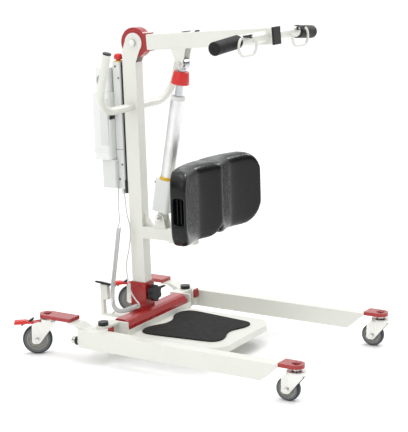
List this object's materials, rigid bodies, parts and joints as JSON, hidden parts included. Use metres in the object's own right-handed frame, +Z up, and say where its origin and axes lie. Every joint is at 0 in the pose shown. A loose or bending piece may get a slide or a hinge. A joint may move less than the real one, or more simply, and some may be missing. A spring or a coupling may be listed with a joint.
{
  "type": "sit to stand lift",
  "caption": "Mobile sit to stand lift with spreading legs, mast, powered boom with grips and sling hooks, knee pad and footplate.",
  "frame": {"origin": "on the floor, on the mirror plane between the legs, in the middle of the part's length at rest", "axes": "+X forward to the patient, +Y to the carer's left, +Z up"},
  "size_m": [1.0854, 0.6682, 1.0744],
  "materials": {
    "white_paint": "satin",
    "deep_red_paint": "satin",
    "bright_red_plastic": "gloss",
    "black_plastic": "satin",
    "pad_foam": "satin",
    "grip_foam": "matte",
    "mat_rubber": "matte",
    "bright_zinc": "satin",
    "chrome": "polished",
    "satin_aluminium": "satin",
    "grey_plastic": "satin",
    "white_plastic": "satin",
    "yellow_plastic": "gloss",
    "hub_plastic": "satin",
    "tyre_rubber": "matte",
    "cord_jacket": "satin"
  },
  "bodies": {
    "chassis": {"base_frame": "white_paint", "crossbar": "deep_red_paint", "footplate": "white_paint", "footplate_mat": "mat_rubber", "leg_pivot_bolts": "bright_zinc", "leg_pivot_caps": "black_plastic", "mast": "white_paint", "push_handle": "white_paint", "mast_pins": "bright_zinc", "control_rail": "black_plastic", "control_box": "grey_plastic", "box_screws": "bright_zinc", "battery_pack": "white_plastic", "handset": "grey_plastic", "cords": "cord_jacket"},
    "right_leg": {"leg_right": "white_paint", "castor_plates_right": "deep_red_paint"},
    "left_leg": {"leg_left": "white_paint", "castor_plates_left": "deep_red_paint"},
    "pedal_crank": {"spreader_pedal": "white_paint"},
    "right_link": {"spreader_link_right": "bright_zinc"},
    "left_link": {"spreader_link_left": "bright_zinc"},
    "lift_boom": {"boom": "white_paint", "pivot_drum": "deep_red_paint", "boom_caps": "black_plastic", "cross_tube": "white_paint", "sling_hooks": "white_paint", "grips": "grip_foam", "rod_pin": "bright_zinc"},
    "right_latch": {"hook_latch_right": "black_plastic"},
    "left_latch": {"hook_latch_left": "black_plastic"},
    "actuator_body": {"motor_housing": "grey_plastic", "outer_tube": "satin_aluminium", "seal_ring": "yellow_plastic"},
    "actuator_rod": {"rod": "chrome", "rod_collar": "bright_red_plastic"},
    "pad_slide": {"pad_carrier": "white_paint"},
    "plunger": {"index_plunger": "black_plastic"},
    "pad_holder": {"pad_bracket": "white_paint", "knee_pad": "pad_foam"},
    "height_screw": {"height_knob": "black_plastic"},
    "mast_screw": {"mast_knob": "black_plastic"},
    "locking_lever": {"mast_lever": "black_plastic"},
    "stop_switch": {"estop_button": "bright_red_plastic"},
    "up_key": {"button_up": "black_plastic"},
    "down_key": {"button_down": "black_plastic"},
    "rear_right_castor": {"rear_fork_right": "bright_zinc"},
    "rear_right_wheel": {"rear_hub_right": "hub_plastic", "rear_tyre_right": "tyre_rubber"},
    "rear_left_castor": {"rear_fork_left": "bright_zinc"},
    "rear_left_wheel": {"rear_hub_left": "hub_plastic", "rear_tyre_left": "tyre_rubber"},
    "front_right_castor": {"front_fork_right": "bright_zinc"},
    "front_right_wheel": {"front_hub_right": "hub_plastic", "front_tyre_right": "tyre_rubber"},
    "front_left_castor": {"front_fork_left": "bright_zinc"},
    "front_left_wheel": {"front_hub_left": "hub_plastic", "front_tyre_left": "tyre_rubber"},
    "right_brake": {"brake_pedal_right": "bright_red_plastic"},
    "left_brake": {"brake_pedal_left": "bright_red_plastic"}
  },
  "joints": [
    {"name": "boom_lift", "type": "hinge", "parent": "chassis", "child": "lift_boom", "pos_m": [-0.22225, 0, 1.016], "axis": [0, -1, 0], "range_deg": [-5, 45]},
    {"name": "actuator_swing", "type": "hinge", "parent": "chassis", "child": "actuator_body", "pos_m": [-0.14725, 0, 0.437], "axis": [0, -1, 0], "range_deg": [-0.5, 2.5]},
    {"name": "rod_extend", "type": "slide", "parent": "actuator_body", "child": "actuator_rod", "axis": [0.1965, 0, 0.9805], "range_m": [-0.0165, 0.1445]},
    {"name": "leg_spread_right", "type": "hinge", "parent": "chassis", "child": "right_leg", "pos_m": [-0.23025, -0.244, 0.085], "axis": [0, 0, -1], "range_deg": [0, 12]},
    {"name": "leg_spread_left", "type": "hinge", "parent": "chassis", "child": "left_leg", "pos_m": [-0.23025, 0.244, 0.085], "axis": [0, 0, 1], "range_deg": [0, 12]},
    {"name": "spreader_crank", "type": "hinge", "parent": "chassis", "child": "pedal_crank", "pos_m": [-0.34225, 0, 0.065], "axis": [0, 0, 1], "range_deg": [0, 19.5]},
    {"name": "spreader_link_right_turn", "type": "hinge", "parent": "pedal_crank", "child": "right_link", "pos_m": [-0.31425, 0, 0.07], "axis": [0, 0, 1], "range_deg": [-18, 0]},
    {"name": "spreader_link_left_turn", "type": "hinge", "parent": "pedal_crank", "child": "left_link", "pos_m": [-0.37025, 0, 0.07], "axis": [0, 0, 1], "range_deg": [-20.5, 0]},
    {"name": "rear_right_swivel", "type": "hinge", "parent": "right_leg", "child": "rear_right_castor", "pos_m": [-0.44125, -0.27, 0.05], "axis": [0, 0, 1], "continuous": true},
    {"name": "rear_right_spin", "type": "hinge", "parent": "rear_right_castor", "child": "rear_right_wheel", "pos_m": [-0.47238, -0.2918, 0.05], "axis": [-0.5736, 0.8192, 0], "continuous": true},
    {"name": "brake_right", "type": "hinge", "parent": "rear_right_castor", "child": "right_brake", "pos_m": [-0.45927, -0.28262, 0.1035], "axis": [0.5736, -0.8192, 0], "range_deg": [0, 8], "stiffness_Nm_per_rad": 2},
    {"name": "front_right_swivel", "type": "hinge", "parent": "right_leg", "child": "front_right_castor", "pos_m": [0.51275, -0.29, 0.0375], "axis": [0, 0, 1], "continuous": true},
    {"name": "front_right_spin", "type": "hinge", "parent": "front_right_castor", "child": "front_right_wheel", "pos_m": [0.48585, -0.29235, 0.0375], "axis": [-0.0872, 0.9962, 0], "continuous": true},
    {"name": "rear_left_swivel", "type": "hinge", "parent": "left_leg", "child": "rear_left_castor", "pos_m": [-0.44125, 0.27, 0.05], "axis": [0, 0, 1], "continuous": true},
    {"name": "rear_left_spin", "type": "hinge", "parent": "rear_left_castor", "child": "rear_left_wheel", "pos_m": [-0.47238, 0.2482, 0.05], "axis": [-0.5736, 0.8192, 0], "continuous": true},
    {"name": "brake_left", "type": "hinge", "parent": "rear_left_castor", "child": "left_brake", "pos_m": [-0.45927, 0.25738, 0.1035], "axis": [0.5736, -0.8192, 0], "range_deg": [0, 8], "stiffness_Nm_per_rad": 2},
    {"name": "front_left_swivel", "type": "hinge", "parent": "left_leg", "child": "front_left_castor", "pos_m": [0.51275, 0.29, 0.0375], "axis": [0, 0, 1], "continuous": true},
    {"name": "front_left_spin", "type": "hinge", "parent": "front_left_castor", "child": "front_left_wheel", "pos_m": [0.48585, 0.28765, 0.0375], "axis": [-0.0872, 0.9962, 0], "continuous": true},
    {"name": "latch_right", "type": "hinge", "parent": "lift_boom", "child": "right_latch", "pos_m": [0.29875, -0.146, 1.057], "axis": [1, 0, 0], "range_deg": [0, 35], "stiffness_Nm_per_rad": 0.02},
    {"name": "latch_left", "type": "hinge", "parent": "lift_boom", "child": "left_latch", "pos_m": [0.29875, 0.146, 1.057], "axis": [-1, 0, 0], "range_deg": [0, 35], "stiffness_Nm_per_rad": 0.02},
    {"name": "pad_reach", "type": "slide", "parent": "chassis", "child": "pad_slide", "axis": [1, 0, 0], "range_m": [0, 0.03]},
    {"name": "plunger_lift", "type": "slide", "parent": "pad_slide", "child": "plunger", "axis": [0, 0, 1], "range_m": [0, 0.008], "stiffness_N_per_m": 300},
    {"name": "pad_height", "type": "slide", "parent": "pad_slide", "child": "pad_holder", "axis": [0, 0, 1], "range_m": [-0.04, 0.04]},
    {"name": "height_knob_turn", "type": "hinge", "parent": "pad_holder", "child": "height_screw", "pos_m": [-0.06225, 0, 0.518], "axis": [-1, 0, 0], "continuous": true},
    {"name": "mast_knob_turn", "type": "hinge", "parent": "chassis", "child": "mast_screw", "pos_m": [-0.19225, 0, 0.1695], "axis": [1, 0, 0], "continuous": true},
    {"name": "locking_lever_turn", "type": "hinge", "parent": "chassis", "child": "locking_lever", "pos_m": [-0.20725, 0, 0.1695], "axis": [1, 0, 0], "range_deg": [0, 60]},
    {"name": "stop_press", "type": "slide", "parent": "chassis", "child": "stop_switch", "axis": [0, 0, -1], "range_m": [0, 0.004], "stiffness_N_per_m": 400},
    {"name": "up_press", "type": "slide", "parent": "chassis", "child": "up_key", "axis": [0, -1, 0], "range_m": [0, 0.0015], "stiffness_N_per_m": 400},
    {"name": "down_press", "type": "slide", "parent": "chassis", "child": "down_key", "axis": [0, -1, 0], "range_m": [0, 0.0015], "stiffness_N_per_m": 400}
  ],
  "couplings": [
    {"joint": "actuator_swing", "follows": "boom_lift", "ratio": 0.05},
    {"joint": "rod_extend", "follows": "boom_lift", "m_per_rad": 0.18335},
    {"joint": "leg_spread_left", "follows": "leg_spread_right", "ratio": 1},
    {"joint": "spreader_crank", "follows": "leg_spread_right", "ratio": 1.62},
    {"joint": "spreader_link_right_turn", "follows": "leg_spread_right", "ratio": -1.49},
    {"joint": "spreader_link_left_turn", "follows": "leg_spread_right", "ratio": -1.69}
  ]
}
